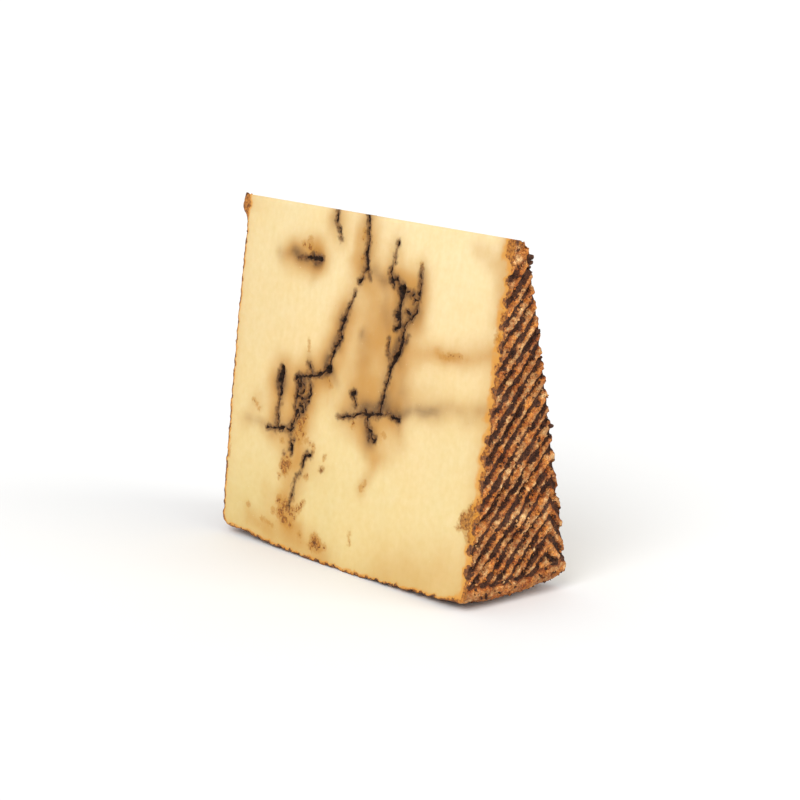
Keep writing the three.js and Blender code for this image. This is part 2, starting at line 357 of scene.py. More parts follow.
FRONT_TAN = [
    (9.0, 0.64, [(2, 22), (4, 34), (2, 50)]),
    (9.0, 0.32, [(24, 104), (50, 99)]),
    (6.0, 0.3, [(20, 53), (34, 51)]),
    (8.0, 0.52, [(12, 24), (10, 48)]),
    (5.0, 0.4, [(22, 18), (22, 48)]),
    (5.5, 0.6, [(-24, 54), (-25, 66), (-26, 80)]),
    (3.6, 0.6, [(28, 37.5), (43, 36.3), (55, 34.5), (63, 32)]),
    (1.6, 0.4, [(36, 36.8), (48, 36)]),
    (2.6, 0.45, [(11, 66), (12, 75), (8.5, 82)]),
    (3.2, 0.4, [(-3, 2), (-7, 14)]),
    (3.4, 0.4, [(-29, 12), (-31, 15)]),
    (4.6, 0.75, [(-38, 16), (-26, 15)]),
    (4.0, 0.3, [(40, 52), (60, 50)]),
    (4.0, 0.5, [(-26, 84), (-27, 92), (-26, 100)]),
    (3.0, 0.5, [(-31, 92), (-29, 98), (-20, 101)]),
    (2.6, 0.5, [(-12, 101), (-9, 103)]),
    (2.4, 0.5, [(-30.5, 80), (-30, 84)]),
    (3.6, 0.5, [(-46, 101), (-30, 103), (-6, 106)]),
    (3.5, 0.25, [(-38, 90), (-34, 100)]),
    (3.0, 0.35, [(48, 4), (56, 8)]),
    (3.2, 0.55, [(60.5, 0), (59.5, 8), (61, 22)]),
    (3.0, 0.3, [(-47, 62), (-52, 72)]),
    (5.0, 0.45, [(18, 56), (22, 66), (14, 70)]),
    (4.0, 0.5, [(3, 63), (12, 68)]),
    (3.4, 0.35, [(-12, 58), (-14, 50)]),
]
FRONT_CRUMBS = [
    (0.3, (-29.3, 10.8)), (0.8, (-29, 13)), (0.4, (-32, 12.4)), (0.2, (-26, 14.6)),
    (0.2, (-3, 5.4)), (0.1, (-3.6, 7.2)), (0.3, (-3, 13.5)), (0.1, (24.5, 12.3)),
    (1.1, (61, 28.4)), (0.1, (-13, 52)), (0.8, (-26, 59.5)), (0.5, (-24, 57.5)),
    (0.5, (1, 63.2)), (0.1, (15.8, 64.2)), (0.9, (-23, 66.5)), (1.0, (-25.3, 67.5)),
    (0.9, (-24.4, 69)), (0.3, (-22, 65)), (0.5, (-26, 71)), (0.5, (-22.8, 70.6)),
    (0.4, (-24.5, 73)), (0.1, (-20.6, 72.2)), (0.1, (-16.8, 73.4)), (0.1, (-10.8, 76)),
    (0.3, (-11.6, 79.8)),
    (0.1, (-32.5, 74.3)), (0.4, (-29.3, 79.2)), (1.5, (-30.6, 81.6)), (1.1, (-28.4, 81)),
    (1.2, (-29.8, 83.4)), (0.4, (-18.7, 83.1)), (0.1, (-32.3, 85.6)), (0.2, (8.2, 81.6)),
    (0.7, (-31, 93)), (0.9, (-28.6, 94.6)), (1.3, (-29.6, 97)), (1.1, (-27.4, 98.4)),
    (0.8, (-24.5, 99.5)), (0.2, (-33.4, 97)), (0.1, (-19, 101.5)), (0.0, (-46.5, 97.4)),
    (1.5, (-11.4, 102)), (1.2, (-9.3, 103)), (0.9, (-12.6, 103.8)), (0.1, (-6.4, 103)),
    (2.6, (56.6, 82.3)), (2.4, (59.2, 79.4)), (1.9, (59.2, 86)), (0.3, (53.4, 84.5)),
]
FRONT_RUST = [
    (0.45, [(41, 36.6), (46, 36)]),
    (0.2, [(37.5, 37), (41, 36.6)]),
    (0.3, [(5, 96), (5.4, 99.5)]),
    (0.9, [(-25, 94.5), (-22.5, 94.8), (-20.5, 93.4), (-19, 91.4)]),
    (0.9, [(-28, 92.5), (-26.6, 95.5), (-23, 97)]),
    (0.3, [(-24.6, 41.5), (-24, 44.4)]),
    (0.3, [(-49.4, 64), (-46, 66.5)]),
    (0.3, [(-14.4, 50.8), (-11.4, 53.6)]),
    (0.3, [(-20, 72), (-17, 74), (-16.6, 76)]),
    (0.3, [(9.6, 80), (8.6, 82)]),
    (0.3, [(-30, 10.4), (-29.4, 13.6), (-27.6, 15.4)]),
    (0.3, [(-39, 100.5), (-33, 101.6)]),
    (0.4, [(-60.8, 75.5), (-60.4, 79)]),
    (0.4, [(-60.2, 81), (-60, 84.5)]),
]
FAINT = 0.6
FRONT_DRY = [(size, [place]) for size, place in FRONT_CRUMBS]
FRONT_DRY += [(half - FAINT, places) for half, places in FRONT_RUST]
print(len(FRONT_GREY) + len(FRONT_TAN), "stains,", len(FRONT_DRY), "dry crumbs and lines")

# %% [markdown]
# The back cut is the other side of the same slice of cheese, so the cracks that run through it
# come out there at other places. They are the front ones, shifted and swayed along the way, with
# every third one ended inside the wedge.


# %% The strokes of the back cut
SQUEEZE_ACROSS, SHIFT_ACROSS = 0.86, 6
SQUEEZE_DOWN = 0.94
SWAY_ACROSS, ACROSS_RUN = 5, 15
SWAY_DOWN, DOWN_RUN, DOWN_START = 3, 11, 20
ENDS_INSIDE = 3


def through(place):
    """Where a crack at this place of the front cut comes out on the back cut."""
    x, t = place
    across = SQUEEZE_ACROSS * x - SHIFT_ACROSS + SWAY_ACROSS * math.sin(t / ACROSS_RUN)
    down = SQUEEZE_DOWN * t + SWAY_DOWN * math.sin(x / DOWN_RUN) * min(t / DOWN_START, 1)
    return (across, down)


def come_out(strokes):
    return [(*how, [through(place) for place in places]) for *how, places in strokes]


deeper_cracks = FRONT_CRACKS[len(tip_cracks):]
passing = tip_cracks + [crack for i, crack in enumerate(deeper_cracks) if i % ENDS_INSIDE]
BACK_CRACKS, BACK_GREY, BACK_TAN = come_out(passing), come_out(FRONT_GREY), come_out(FRONT_TAN)
BACK_DRY = come_out(FRONT_DRY[::2])
print(len(BACK_CRACKS), "strokes on the back cut")

# %% [markdown]
# ## Measuring on the wedge
#
# Three measures steer everything that follows: how deep a point lies under the rind, where it is
# on its cut, and how far it is from the nearest crack. A little noise shifts the point before the
# distance is taken, which turns straight strokes into wandering, crumbly ones.


# %% Depth under the rind, and places on a cut
def wheel_measures(points):
    """The distance from the axis, and how deep under a face and under the wall."""
    r = np.hypot(points[:, 1], points[:, 2])
    face = HALF + FACE_DOME * (1 - (r / WHEEL_RADIUS) ** 2) - np.abs(points[:, 0])
    wall = WHEEL_RADIUS + WALL_BULGE * (1 - (points[:, 0] / HALF) ** 2) - r
    return r, face, wall


def rind_depth(points):
    r, face, wall = wheel_measures(points)
    corner = (face < SHOULDER) & (wall < SHOULDER)
    rounded = SHOULDER - np.hypot(SHOULDER - face, SHOULDER - wall)
    return np.where(corner, rounded, np.minimum(face, wall))


def turn_share(points):
    """0 on the front cut, 1 on the back cut."""
    return (turn_of(points) + FRONT_CUT) / (FRONT_CUT + BACK_CUT)


def place_on_cut(points, side):
    """Along the cut from its middle, and down from the tip."""
    if side == "front":
        down = points[:, 1:] @ front_down
    else:
        down = (points[:, 1:] - tip_back) @ back_down
    return np.column_stack([points[:, 0] - FACE_MIDDLE, down])


# %% Noise and distances
def wander(points, size, octaves=2, shift=0.0):
    """Smooth noise from -1 to 1 whose bumps are about size mm across."""
    places = points / size + shift
    return np.array([noise.fractal(p, 1.0, 2.0, octaves) for p in places.tolist()])


def stroke_distance(flat, places):
    """The distance of each (x, t) point to a line through the places."""
    nearest = np.full(len(flat), np.inf)
    places = [np.array(p, float) for p in places]
    for start, end in zip(places[:-1] or places, places[1:] or places):
        run = end - start
        share = np.clip((flat - start) @ run / max(run @ run, 1e-9), 0, 1)
        nearest = np.minimum(nearest, np.hypot(*(flat - start - share[:, None] * run).T))
    return nearest


def crack_distance(flat, cracks):
    """Distance to the edge of the nearest crack, negative inside it."""
    return np.min([stroke_distance(flat, places) - half for half, places in cracks], axis=0)


def stain(flat, strokes):
    """Soft strokes add up to at most 1."""
    clear = np.ones(len(flat))
    for fade, strength, places in strokes:
        clear *= 1 - strength * np.exp(-(stroke_distance(flat, places) / fade) ** 2)
    return 1 - clear


HALO_STEP = 2.0
HALO_GAIN = 0.7


def halo(flat, cracks, reach):
    """What the cracks stain within a reach: each bit of a crack adds a soft spot."""
    dark = np.zeros(len(flat))
    for half, places in cracks:
        for start, end in zip(places[:-1] or places, places[1:] or places):
            start, end = np.array(start, float), np.array(end, float)
            bits = max(1, round(np.hypot(*(end - start)) / HALO_STEP))
            for i in range(bits):
                spot = start + (end - start) * (i + 0.5) / bits
                dark += half * np.exp(-((flat - spot) ** 2).sum(axis=1) / reach ** 2)
    return 1 - np.exp(-HALO_GAIN * dark)


# %% Which points lie on which cut
CUT_SHARE = 0.01
TIP_MARGIN = 0.5


def cut_sides(points):
    """Yield each cut with its points' numbers, flat places and strokes."""
    share = turn_share(points)
    tip = (points[:, 1:] - pivot) @ (front_down + back_down) / 2 < above_back + TIP_MARGIN
    front = (share < CUT_SHARE) | (tip & (share < 0.5))
    back = (share > 1 - CUT_SHARE) | (tip & (share >= 0.5))
    for side, there, *strokes in (
            ("front", front, FRONT_CRACKS, FRONT_GREY, FRONT_TAN, FRONT_DRY),
            ("back", back, BACK_CRACKS, BACK_GREY, BACK_TAN, BACK_DRY)):
        numbers = np.flatnonzero(there)
        yield side, numbers, place_on_cut(points[numbers], side), strokes


for side, numbers, flat, _ in cut_sides(points_of(wedge)):
    print(side, "cut:", len(numbers), "points, down to", round(flat[:, 1].max(), 1), "mm")

# %% [markdown]
# ## Fine cells where detail is
#
# Cells of just over a millimetre are fine for the plain paste and far too coarse for the weave
# and the cracks. A remesh would blur the cut edges, so the long edges in those places are picked
# by length and split with Subdivide, in rounds, until they are short enough.


# %% Split the long edges
RIND_CELL = {"right": 0.37, "left": 0.6, "wall": 0.75}
CRACK_CELL = 0.34
CRACK_REACH = 0.9
SPOT_CELL = 0.6
BORDER_REACH, DRY_REACH = 2.2, 1.4
RIM_BAND = 2.2
SPLIT_FROM = 1.35


def wanted_cell(points):
    """The longest edge that is wanted at each point, in mm."""
    cell = np.full(len(points), 2 * CELL)
    depth = rind_depth(points)
    r = np.hypot(points[:, 1], points[:, 2])
    face = np.where(points[:, 0] > 0, RIND_CELL["right"], RIND_CELL["left"])
    on_wall = (r > WHEEL_RADIUS - SHOULDER) & (np.abs(points[:, 0]) < HALF - SHOULDER)
    near_rind = depth < RIM_BAND
    cell[near_rind] = np.where(on_wall, RIND_CELL["wall"], face)[near_rind]
    for side, numbers, flat, strokes in cut_sides(points):
        distance = crack_distance(flat, strokes[0])
        spot = (distance < BORDER_REACH) | (crack_distance(flat, strokes[3]) < DRY_REACH)
        wanted = np.where(distance < CRACK_REACH, CRACK_CELL,
                          np.where(spot, SPOT_CELL, 2 * CELL))
        cell[numbers] = np.minimum(cell[numbers], wanted)
    return cell


def split_long_edges(piece, rounds=3):
    bpy.context.tool_settings.mesh_select_mode = (False, True, False)
    for _ in range(rounds):
        mesh, points = piece.data, points_of(piece)
        first, second = points[read(mesh.edges, "vertices", 2, np.int32).T]
        length = np.linalg.norm(first - second, axis=1)
        chosen = length > SPLIT_FROM * wanted_cell((first + second) / 2)
        mesh.vertices.foreach_set("select", np.zeros(len(mesh.vertices), bool))
        mesh.polygons.foreach_set("select", np.zeros(len(mesh.polygons), bool))
        mesh.edges.foreach_set("select", chosen)
        bpy.ops.object.mode_set(mode="EDIT")
        bpy.ops.mesh.subdivide(number_cuts=1, smoothness=0, ngon=False)
        bpy.ops.object.mode_set(mode="OBJECT")
        print("split", int(chosen.sum()), "edges; now", len(mesh.polygons), "faces")


split_long_edges(wedge)

# %% [markdown]
# ## The weave of the mould
#
# The mould is plaited grass. Its print is a herringbone: slanting grooves in upright columns,
# folded where two columns meet. Each point gets a weave number that counts the grooves, whole in
# the middle of a groove, so that the mesh and the material both know where the grooves are, and
# the material's grooves stay crisp between the points. Noise lets the lines sway as real ones do.

# %% Number the weave
GROOVE_PITCH = 3.6
GROOVE_DEPTH = 0.95
GROOVE_ANGLE = math.radians(48)
COLUMN_WIDTH = 32.0
FACE_FOLD = 16.0
WEAVE_MARGIN = 2.5
BROAD_SWAY, BROAD_SIZE = 0.8, 11
FINE_SWAY, FINE_SIZE = 0.35, 3
WEAVE_FADE = (0.8, -0.2)
PLAIN_TIP = (5, 10)
GROOVE_SIDE = (0.6, 0.36)
COLUMN_CLIMB = COLUMN_WIDTH * math.tan(GROOVE_ANGLE)
WEAVE_EDGE = WHEEL_RADIUS - SHOULDER - WEAVE_MARGIN


def weave_number(across, along):
    climb = COLUMN_CLIMB * np.abs(1 - np.abs(across / COLUMN_WIDTH) % 2)
    return (along - climb) * math.cos(GROOVE_ANGLE) / GROOVE_PITCH


def weave_on(points):
    """The weave number of each point, and how much the weave shows there."""
    x, y, z = points.T
    r, face_gap, wall_gap = wheel_measures(points)
    on_face = face_gap < wall_gap
    sway = BROAD_SWAY * wander(points, BROAD_SIZE) + FINE_SWAY * wander(points, FINE_SIZE, shift=7.0)
    fade_out, fade_in = WEAVE_FADE
    face = weave_number(y - np.sign(x) * FACE_FOLD, z + WEAVE_EDGE + COLUMN_CLIMB + sway)
    around = WHEEL_RADIUS * np.arctan2(y, -z)
    wall = weave_number(x, around + front_reach + COLUMN_CLIMB + sway)
    shown_face = smoothstep(WEAVE_EDGE + fade_out, WEAVE_EDGE + fade_in, r + 0.4 * sway)
    shown_face *= smoothstep(*PLAIN_TIP, r + 3 * sway)
    band = HALF - SHOULDER - WEAVE_MARGIN
    shown_wall = smoothstep(band + fade_out, band + fade_in, np.abs(x) + 0.4 * sway)
    return np.where(on_face, face, wall), np.where(on_face, shown_face, shown_wall)


def groove_share(number, shown, ragged):
    """1 in a groove, 0 on a ridge."""
    off_middle = 2 * np.abs(number - np.round(number))
    return shown * smoothstep(*GROOVE_SIDE, off_middle + ragged)


plain = points_of(wedge)
weave, woven = weave_on(plain)
print("weave numbers run from", round(weave.min(), 1), "to", round(weave.max(), 1))

# %% [markdown]
# ## Printing the rind
#
# The print is pressed in square to the rind and fades within a few millimetres below it, so the
# points of the cut near the rind move along with it: that is what gives the cut its scalloped
# outline. Crumbs and pits of about a millimetre roughen the ridges, and each kind of bump has a
# height and a breadth in mm. A ring groove runs round each face where the mould's disc met its
# wall. The print grips the right face fully and the left face and the wall only lightly. The bite
# is how far each groove's dark bloom reaches into the cut.

# %% Press in the weave and roughen the rind
PRINT_REACH = 3.2
RING_DEPTH, RING_WIDTH = 0.7, 0.8
GRIP = {"right": 1.0, "left": 0.22, "wall": 0.24}
FACE_BAND = 4
GRIP_PATCH = 7
CRUMB_HEIGHT, CRUMB_BREADTH = 0.3, 1.7
GRIT_HEIGHT, GRIT_BREADTH = 0.22, 0.75
LUMP_BREADTH = 5
WALL_WAVE_HEIGHT, WALL_WAVE_BREADTH = 0.45, 13
RAGGED_HEIGHT, RAGGED_BREADTH = 0.26, 1.4
UPPER_BITE, LOWER_BITE = 0.5, 0.85
BITE_GROWS = (15, 45)
BITE_START, BITE_NOISE, BITE_BREADTH = 0.15, 1.1, 1.5
NO_BITE = 9.0

depth = rind_depth(plain)
near = depth < 3 * PRINT_REACH
print_depth, bite, ring = np.zeros(len(plain)), np.full(len(plain), NO_BITE), np.zeros(len(plain))
rind_near, radius = plain[near], np.hypot(plain[near, 1], plain[near, 2])
on_face = np.abs(rind_near[:, 0]) > HALF - FACE_BAND
grip = np.where(on_face, np.where(rind_near[:, 0] > 0, GRIP["right"], GRIP["left"]), GRIP["wall"])
grip *= np.clip(0.85 + 1.1 * wander(rind_near, GRIP_PATCH, shift=27.0), 0.2, 1.4)
crumbs = CRUMB_HEIGHT * wander(rind_near, CRUMB_BREADTH, 3, shift=3.0)
crumbs += GRIT_HEIGHT * wander(rind_near, GRIT_BREADTH, shift=9.0)
lumps = (0.15 + 0.35 * grip) * wander(rind_near, LUMP_BREADTH, shift=21.0)
lumps += WALL_WAVE_HEIGHT * ~on_face * wander(rind_near, WALL_WAVE_BREADTH, shift=39.0)
ragged = RAGGED_HEIGHT * wander(rind_near, RAGGED_BREADTH, shift=15.0)
grooves = groove_share(weave[near], woven[near], ragged)
ring[near] = on_face * np.exp(-((radius - WEAVE_EDGE - 1.0 + lumps) / RING_WIDTH) ** 2)
print_depth[near] = (GROOVE_DEPTH * grip * grooves + RING_DEPTH * ring[near]
                     - crumbs * (1 - 0.6 * grooves) - lumps)
groove_bite = (UPPER_BITE + LOWER_BITE * smoothstep(*BITE_GROWS, radius)) * grip * grooves
bite_noise = BITE_NOISE * wander(rind_near, BITE_BREADTH, shift=33.0)
bite[near] = depth[near] - BITE_START - groove_bite - bite_noise
print("the print is up to", round(print_depth.max(), 2), "mm deep")


def rind_outward(points):
    """The way out through the nearest rind, turning smoothly over a shoulder."""
    x, y, z = points.T
    r = np.maximum(np.hypot(y, z), 1e-6)
    past_face = np.maximum(np.abs(x) - (HALF - SHOULDER), 0)
    past_wall = np.maximum(r - (WHEEL_RADIUS - SHOULDER), 0)
    face_wins = HALF - np.abs(x) < WHEEL_RADIUS - r
    past_face = np.where((past_face == 0) & (past_wall == 0), face_wins, past_face)
    past_wall = np.where((past_face == 0) & (past_wall == 0), 1, past_wall)
    out = np.column_stack([np.sign(x) * past_face, past_wall * y / r, past_wall * z / r])
    return out / np.linalg.norm(out, axis=1)[:, None]


fade = np.exp(-(np.maximum(depth, 0) / PRINT_REACH) ** 2)
printed = plain - rind_outward(plain) * (print_depth * fade)[:, None]
print("the furthest move is", round(float(np.abs(printed - plain).max()), 2), "mm")

# %% [markdown]
# ## Lip, broken corner and cracks
#
# The knife pushes a lip of rind out at the left end of the tip, and a corner has broken off at the
# right end. Both are small and soft, so points are pulled out or pressed down to a plane. The
# cracks are carved straight into each cut, deeper where they are wide, and the foot is pressed
# flat by the wedge's own weight.

# %% Lip and broken corner
LIP_TOP, LIP_REACH = 3.5, 8.5
LIP_NOISE, LIP_BREADTH = 0.8, 2.5
CHIP_NOISE, CHIP_BREADTH = 0.3, 1.5
CHIP_START = 1.7
CHIP_SLOPE = math.radians(48)
CHIP_SKEW = math.radians(20)

radius_all = np.hypot(plain[:, 1], plain[:, 2])
lip = smoothstep(LIP_REACH, LIP_TOP, radius_all + LIP_NOISE * wander(plain, LIP_BREADTH))
lip *= 0.7 + 0.3 * smoothstep(0, 2.5, radius_all)
printed[:, 0] -= np.where(plain[:, 0] < 0, LIP_HEIGHT * lip * fade, 0)

chip_out = np.array([math.sin(CHIP_SLOPE) * math.sin(CHIP_SKEW),
                     math.sin(CHIP_SLOPE) * math.cos(CHIP_SKEW), math.cos(CHIP_SLOPE)])
chip_place = np.array([HALF + FACE_DOME, CHIP_START, -TIP_DROP * CHIP_START / TIP_WIDTH])
proud = (printed - chip_place) @ chip_out
chipped = proud > 0
chip_noise = CHIP_NOISE * wander(printed[chipped], CHIP_BREADTH)
printed[chipped, 2] -= (proud[chipped] + chip_noise) / chip_out[2]
print(int(chipped.sum()), "points pressed down to the broken corner")

# %% [markdown]
# A crack's stroke drifts, jitters and thins out by noise before it is carved, so that no two
# stretches are alike. A side gives where the carving starts and where it is full, in mm from the
# stroke's edge. Each crack also throws a grey halo and a wider tan one, both patchy.

# %% How strokes wander and stain
CRACK_DRIFT, CRACK_BEND = 0.45, 2.2
CRACK_JITTER, JITTER_BREADTH = 0.22, 0.8
THINNING, THIN_NOISE, THIN_BREADTH, THINNEST = 0.14, 0.8, 2.4, 0.24
STAIN_DRIFT, STAIN_BEND = 1.6, 9
PATCHY = 0.97
GREY_PATCH, GREY_CONTRAST, GREY_LEAST = 6, 0.5, 0.5
TAN_PATCH, TAN_CONTRAST, TAN_LEAST = 8, 0.3, 0.6
MOST_PATCHY = 1.1
GREY_HALO, GREY_REACH = 0.9, 2.7
TAN_HALO, TAN_REACH = 0.82, 4.8


def drift(points, amount, size, shifts):
    """Two noises by which flat places are moved."""
    return amount * np.column_stack([wander(points, size, shift=shift) for shift in shifts])


print("grey reaches about", GREY_REACH, "mm from a crack and tan", TAN_REACH, "mm")

# %% Carve the cracks and keep their measures
CRACK_DEPTH, CRACK_SIDE = 0.9, (0.25, -0.7)
HOLE_DEPTH, HOLE_SIDE = 1.8, (-0.55, -1.4)
DRY_DEPTH, DRY_SIDE, DRY_BREADTH = 0.18, (0.3, -0.3), 0.9
NO_CRACK = 9.0
INTO = {"front": (0, math.cos(FRONT_CUT), -math.sin(FRONT_CUT)),
        "back": (0, -math.cos(BACK_CUT), -math.sin(BACK_CUT))}

crack = np.full(len(plain), NO_CRACK)
crumb = np.full(len(plain), NO_CRACK)
grey = np.zeros(len(plain))
tan = np.zeros(len(plain))
for side, numbers, flat, (cracks, grey_strokes, tan_strokes, dry) in cut_sides(plain):
    here = plain[numbers]
    moved = flat + drift(here, CRACK_DRIFT, CRACK_BEND, (31.0, 47.0))
    moved = moved + drift(here, CRACK_JITTER, JITTER_BREADTH, (5.0, 13.0))
    thinner = np.minimum(THINNING + THIN_NOISE * wander(here, THIN_BREADTH, shift=61.0), THINNEST)
    distance = crack_distance(moved, cracks) + thinner
    crack[numbers] = np.minimum(distance, NO_CRACK)
    soft = flat + drift(here, STAIN_DRIFT, STAIN_BEND, (71.0, 83.0))
    patchy = PATCHY + GREY_CONTRAST * wander(here, GREY_PATCH, shift=97.0)
    patchy = np.clip(patchy, GREY_LEAST, MOST_PATCHY)
    grey_halo = GREY_HALO * halo(soft, cracks, GREY_REACH)
    grey[numbers] = patchy * (1 - (1 - grey_halo) * (1 - stain(soft, grey_strokes)))
    tan_halo = TAN_HALO * halo(soft, cracks, TAN_REACH)
    patchy = PATCHY + TAN_CONTRAST * wander(here, TAN_PATCH, shift=57.0)
    patchy = np.clip(patchy, TAN_LEAST, MOST_PATCHY)
    tan[numbers] = np.minimum(patchy * (1 - (1 - tan_halo) * (1 - stain(soft, tan_strokes))), 1)
    crumb[numbers] = np.minimum(crack_distance(moved, dry), NO_CRACK)
    carve = CRACK_DEPTH * smoothstep(*CRACK_SIDE, distance)
    carve += HOLE_DEPTH * smoothstep(*HOLE_SIDE, distance)
    carve += DRY_DEPTH * smoothstep(*DRY_SIDE, crumb[numbers]) * wander(here, DRY_BREADTH)
    printed[numbers] += carve[:, None] * np.array(INTO[side])
print("cracks carved up to", round(CRACK_DEPTH + HOLE_DEPTH, 1), "mm deep")

# %% The rim of the rind, and the glow inside it
RIGHT_BAND = (14, 6)
RIM_WIDTH, RIM_NOISE, RIM_BREADTH = 0.45, 0.6, 4
RIGHT_RIM, RIGHT_NOISE, RIGHT_BREADTH = 0.8, 3.2, 6
LEAST_RIM, LIP_RIM = 0.2, 2.2
RIM_BITE = 0.7
GLOW, RIGHT_GLOW, GLOW_REACH = 0.32, 0.4, 2.2
LIP_GLOW, LIP_GLOW_REACH = 0.75, 3.5
CRISP_LEFT = 3
BELOW_BAND, BELOW_GLOW = (16, 0), 0.06

right_side = smoothstep(*RIGHT_BAND, HALF + FACE_DOME - plain[:, 0])
rim_width = RIM_WIDTH + RIM_NOISE * wander(plain, RIM_BREADTH, shift=41.0) + LIP_RIM * lip
rim_width += right_side * (RIGHT_RIM + RIGHT_NOISE * wander(plain, RIGHT_BREADTH, shift=51.0))
rim = np.minimum(depth - np.maximum(rim_width, LEAST_RIM), bite - RIM_BITE * right_side)
rim *= 1 + CRISP_LEFT * (1 - right_side) * (rim > 0)
below = smoothstep(*BELOW_BAND, WHEEL_RADIUS - radius_all)
under = np.maximum(depth, 0)
glow = np.exp(-under / (GLOW_REACH + GLOW_REACH * right_side))
glow = np.maximum((GLOW + RIGHT_GLOW * right_side) * glow,
                  LIP_GLOW * lip * np.exp(-under / LIP_GLOW_REACH))
below_glow = BELOW_GLOW * below * (1 + 0.8 * wander(plain, 12, shift=91.0))
glow = 1 - (1 - glow) * (1 - below_glow)
tan = 1 - (1 - tan) * (1 - glow)
print("the rim is up to", round(float(rim_width.max()), 1), "mm wide")

# %% Press the foot flat and put the points back
floor_level = low.z / MM - AXIS[2]
printed[:, 2] = np.maximum(printed[:, 2], floor_level)
put_points(wedge, printed)
measures = {"crack": crack, "crumb": crumb, "grey": grey, "tan": tan, "rim": rim, "bite": bite,
            "weave": weave, "woven": woven, "ring": ring}
for name, values in measures.items():
    keep(wedge.data, name, values)
wedge.data.shade_smooth()
wedge.data.calc_loop_triangles()
print("the wedge has", len(wedge.data.loop_triangles), "triangles")

# %% [markdown]
# ## Loose crumbs of rind
#
# The dry rind sheds. One rough crumb is made from a small ball and copied, each copy turned, sized
# and set half into the rind. A few bigger clods sit where the corner broke and on the back edge.
# They break the outline as the real ones do. Each crumb has one weave number of its own, so that
# the rind's material makes some as dark as a groove and some as pale as a ridge.

# %% Model one crumb
CRUMB_LUMPS, LUMPINESS = 1.7, 0.5

deselect_all()
bpy.ops.mesh.primitive_ico_sphere_add(subdivisions=2, radius=1)
ball = bpy.context.object
for point in ball.data.vertices:
    point.co *= 1 + LUMPINESS * noise.noise(point.co * CRUMB_LUMPS)
ball_points = np.array([point.co for point in ball.data.vertices])
ball_faces = np.array([face.vertices for face in ball.data.polygons])
bpy.data.objects.remove(ball)
print("one crumb has", len(ball_faces), "faces")

# %% Scatter its copies over the rind
CRUMBS = 480
CRUMB_SIZE = (0.18, 0.5)
CRUMB_SHAPE = np.array([1.3, 1.0, 0.7])
CRUMB_LIFT, CLOD_LIFT = 0.15, 0.3
FOOT_CLEARANCE = 1.5
SURFACE = 0.05
CLODS = [(0.4, (-63, -9, -68)), (0.95, (62.5, 5.6, -5.5)), (0.7, (62.7, 5.9, -7.0)),
         (0.6, (62.4, 4.9, -6.6)), (0.55, (62.9, 6.6, -8.4)), (0.8, (62.2, 10.6, -27.0)),
         (0.7, (61.8, 15.9, -56.0)), (0.6, (61.6, 16.4, -58.5)), (0.5, (62.4, 12.2, -35.0))]

chance = np.random.default_rng(7)
cut_share = turn_share(plain)
on_rind = (depth < SURFACE) & (cut_share > CUT_SHARE) & (cut_share < 1 - CUT_SHARE)
on_rind &= printed[:, 2] > floor_level + FOOT_CLEARANCE
places = chance.choice(np.flatnonzero(on_rind), CRUMBS, replace=False)
outward = rind_outward(plain)
spots = [(chance.uniform(*CRUMB_SIZE), printed[i] + CRUMB_LIFT * outward[i]) for i in places]
rind_numbers = np.flatnonzero(on_rind)
for size, place in CLODS:
    nearest = rind_numbers[np.argmin(np.linalg.norm(printed[rind_numbers] - place, axis=1))]
    spots.append((size, printed[nearest] + CLOD_LIFT * size * outward[nearest]))
crumb_points, crumb_faces = [], []
for i, (size, place) in enumerate(spots):
    turn = np.linalg.qr(chance.normal(size=(3, 3)))[0]
    turn *= np.sign(np.linalg.det(turn))
    crumb_points.append((ball_points * size * CRUMB_SHAPE) @ turn + place)
    crumb_faces.append(ball_faces + i * len(ball_points))
crumb_mesh = bpy.data.meshes.new("rind_crumbs")
crumb_mesh.from_pydata(((np.concatenate(crumb_points) + AXIS) * MM).tolist(), [],
                       np.concatenate(crumb_faces).tolist())
rind_crumbs = bpy.data.objects.new("rind_crumbs", crumb_mesh)
bpy.context.collection.objects.link(rind_crumbs)
crumb_mesh.shade_smooth()
tones = np.where(np.arange(len(spots)) < CRUMBS, chance.uniform(0, 1, len(spots)), 0.0)
for name, values in (("weave", tones), ("woven", np.ones(len(spots)))):
    keep(crumb_mesh, name, np.repeat(values, len(ball_points)))
print(len(spots), "crumbs,", len(crumb_mesh.polygons), "faces")

# %% [markdown]
# ## Materials
#
# Colours are written as they look under the studio's lamps, from 0 to 255. The lamps brighten
# everything a little, so the shader's linear values are that much darker. A small helper adds a
# node with its settings, so that a material reads as a list of steps.

# %% Helpers for materials
LAMP_LEVEL = 1.27


def paint(red, green, blue):
    """A colour as it looks on a screen, as a shader wants it."""
    def linear(value):
        value /= 255
        value = value / 12.92 if value <= 0.04045 else ((value + 0.055) / 1.055) ** 2.4
        return value / LAMP_LEVEL
    return (linear(red), linear(green), linear(blue), 1)


def add(tree, kind, inputs=None, **settings):
    """Add a node; an input is a value, or the socket that feeds it."""
    node = tree.nodes.new(kind)
    for name, value in settings.items():
        setattr(node, name, value)
    for name, value in (inputs or {}).items():
        if isinstance(value, bpy.types.NodeSocket):
            tree.links.new(value, node.inputs[name])
        else:
            node.inputs[name].default_value = value
    return node


def math_step(tree, operation, first, second=0.0, clamp=False):
    node = add(tree, "ShaderNodeMath", {0: first, 1: second}, operation=operation, use_clamp=clamp)
    return node.outputs[0]


def times(tree, first, second, clamp=False):
    return math_step(tree, "MULTIPLY", first, second, clamp)


def plus(tree, first, second, clamp=False):
    return math_step(tree, "ADD", first, second, clamp)


def minus(tree, first, second):
    return math_step(tree, "SUBTRACT", first, second)


def mix_colour(tree, share, first, second, blend="MIX"):
    node = add(tree, "ShaderNodeMix", {0: share, 6: first, 7: second}, data_type="RGBA",
               blend_type=blend)
    return node.outputs[2]


